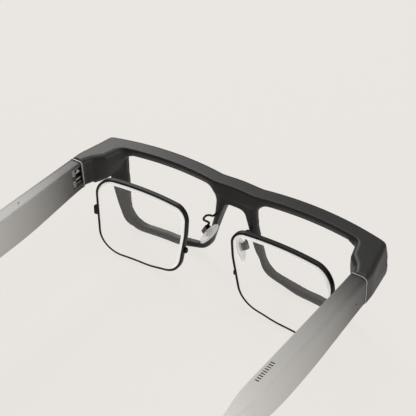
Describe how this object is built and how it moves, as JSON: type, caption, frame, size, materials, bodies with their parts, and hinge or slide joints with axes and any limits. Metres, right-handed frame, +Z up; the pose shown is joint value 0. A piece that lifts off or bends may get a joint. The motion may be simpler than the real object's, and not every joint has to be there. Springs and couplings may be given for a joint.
{
  "type": "smart glasses",
  "caption": "Smart glasses with a see-through display in each lens, folding temples that hold battery and speakers, nose pads and magnetic prescription inserts.",
  "frame": {"origin": "on the ground plane below the middle of the bounding box", "axes": "+X towards the wearer's left, +Y from the front back to the temple tips, +Z up"},
  "size_m": [0.1518, 0.1658, 0.046],
  "materials": {
    "frame_plastic": "fine matte texture, dark grey",
    "inner_plastic": "matte, near black",
    "tip_rubber": "soft matte grey",
    "display_glass": "clear, coated",
    "insert_glass": "clear, polished edge",
    "black_metal": "satin black",
    "steel": "satin",
    "silicone": "soft clear silicone",
    "battery_foil": "foil pouch",
    "board_green": "solder mask",
    "flex_amber": "polyimide film",
    "module_black": "moulded housing",
    "gold": "gold-plated can",
    "magnet": "nickel plated"
  },
  "bodies": {
    "front": {"front_flex_cable": "flex_amber", "front_frame": "frame_plastic", "left_display_lens": "display_glass", "left_endpiece_cover": "inner_plastic", "left_frame_magnet": "magnet", "left_hinge_flex_coil": "flex_amber", "left_hinge_front_leaf": "steel", "left_light_engine": "module_black", "left_lower_hinge_pin": "steel", "left_nose_pad_arm": "steel", "left_nose_pad_screw": "steel", "left_upper_hinge_pin": "steel", "right_display_lens": "display_glass", "right_endpiece_cover": "inner_plastic", "right_frame_magnet": "magnet", "right_hinge_flex_coil": "flex_amber", "right_hinge_front_leaf": "steel", "right_light_engine": "module_black", "right_lower_hinge_pin": "steel", "right_nose_pad_arm": "steel", "right_nose_pad_screw": "steel", "right_upper_hinge_pin": "steel"},
    "left_temple": {"left_battery": "battery_foil", "left_circuit_board": "board_green", "left_ear_tip": "tip_rubber", "left_hinge_temple_leaf": "steel", "left_microphone": "gold", "left_speaker": "module_black", "left_speaker_mesh": "black_metal", "left_temple_cover": "inner_plastic", "left_temple_shell": "frame_plastic", "left_touch_sensor": "flex_amber"},
    "right_temple": {"right_battery": "battery_foil", "right_circuit_board": "board_green", "right_ear_tip": "tip_rubber", "right_hinge_temple_leaf": "steel", "right_speaker": "module_black", "right_speaker_mesh": "black_metal", "right_temple_cover": "inner_plastic", "right_temple_shell": "frame_plastic", "right_touch_sensor": "flex_amber"},
    "left_insert": {"left_insert_lens": "insert_glass", "left_insert_rim": "black_metal"},
    "right_insert": {"right_insert_lens": "insert_glass", "right_insert_rim": "black_metal"},
    "left_pad": {"left_nose_pad": "silicone"},
    "right_pad": {"right_nose_pad": "silicone"}
  },
  "joints": [
    {"name": "left_temple_fold", "type": "hinge", "parent": "front", "child": "left_temple", "pos_m": [0.0703, -0.0481, 0.04], "axis": [0, 0, 1], "range_deg": [0, 90]},
    {"name": "right_temple_fold", "type": "hinge", "parent": "front", "child": "right_temple", "pos_m": [-0.0703, -0.0481, 0.04], "axis": [0, 0, -1], "range_deg": [0, 75]},
    {"name": "left_insert_slide", "type": "slide", "parent": "front", "child": "left_insert", "axis": [0, -1, 0], "range_m": [0, 0.0164]},
    {"name": "right_insert_slide", "type": "slide", "parent": "front", "child": "right_insert", "axis": [0, -1, 0], "range_m": [0, 0.0164]},
    {"name": "left_nose_pad_rock", "type": "hinge", "parent": "front", "child": "left_pad", "pos_m": [0.0104, -0.0667, 0.0242], "axis": [0.1853, 0.9193, 0.3473], "range_deg": [-8, 8]},
    {"name": "right_nose_pad_rock", "type": "hinge", "parent": "front", "child": "right_pad", "pos_m": [-0.0104, -0.0667, 0.0242], "axis": [-0.1853, 0.9193, 0.3473], "range_deg": [-8, 8]}
  ]
}
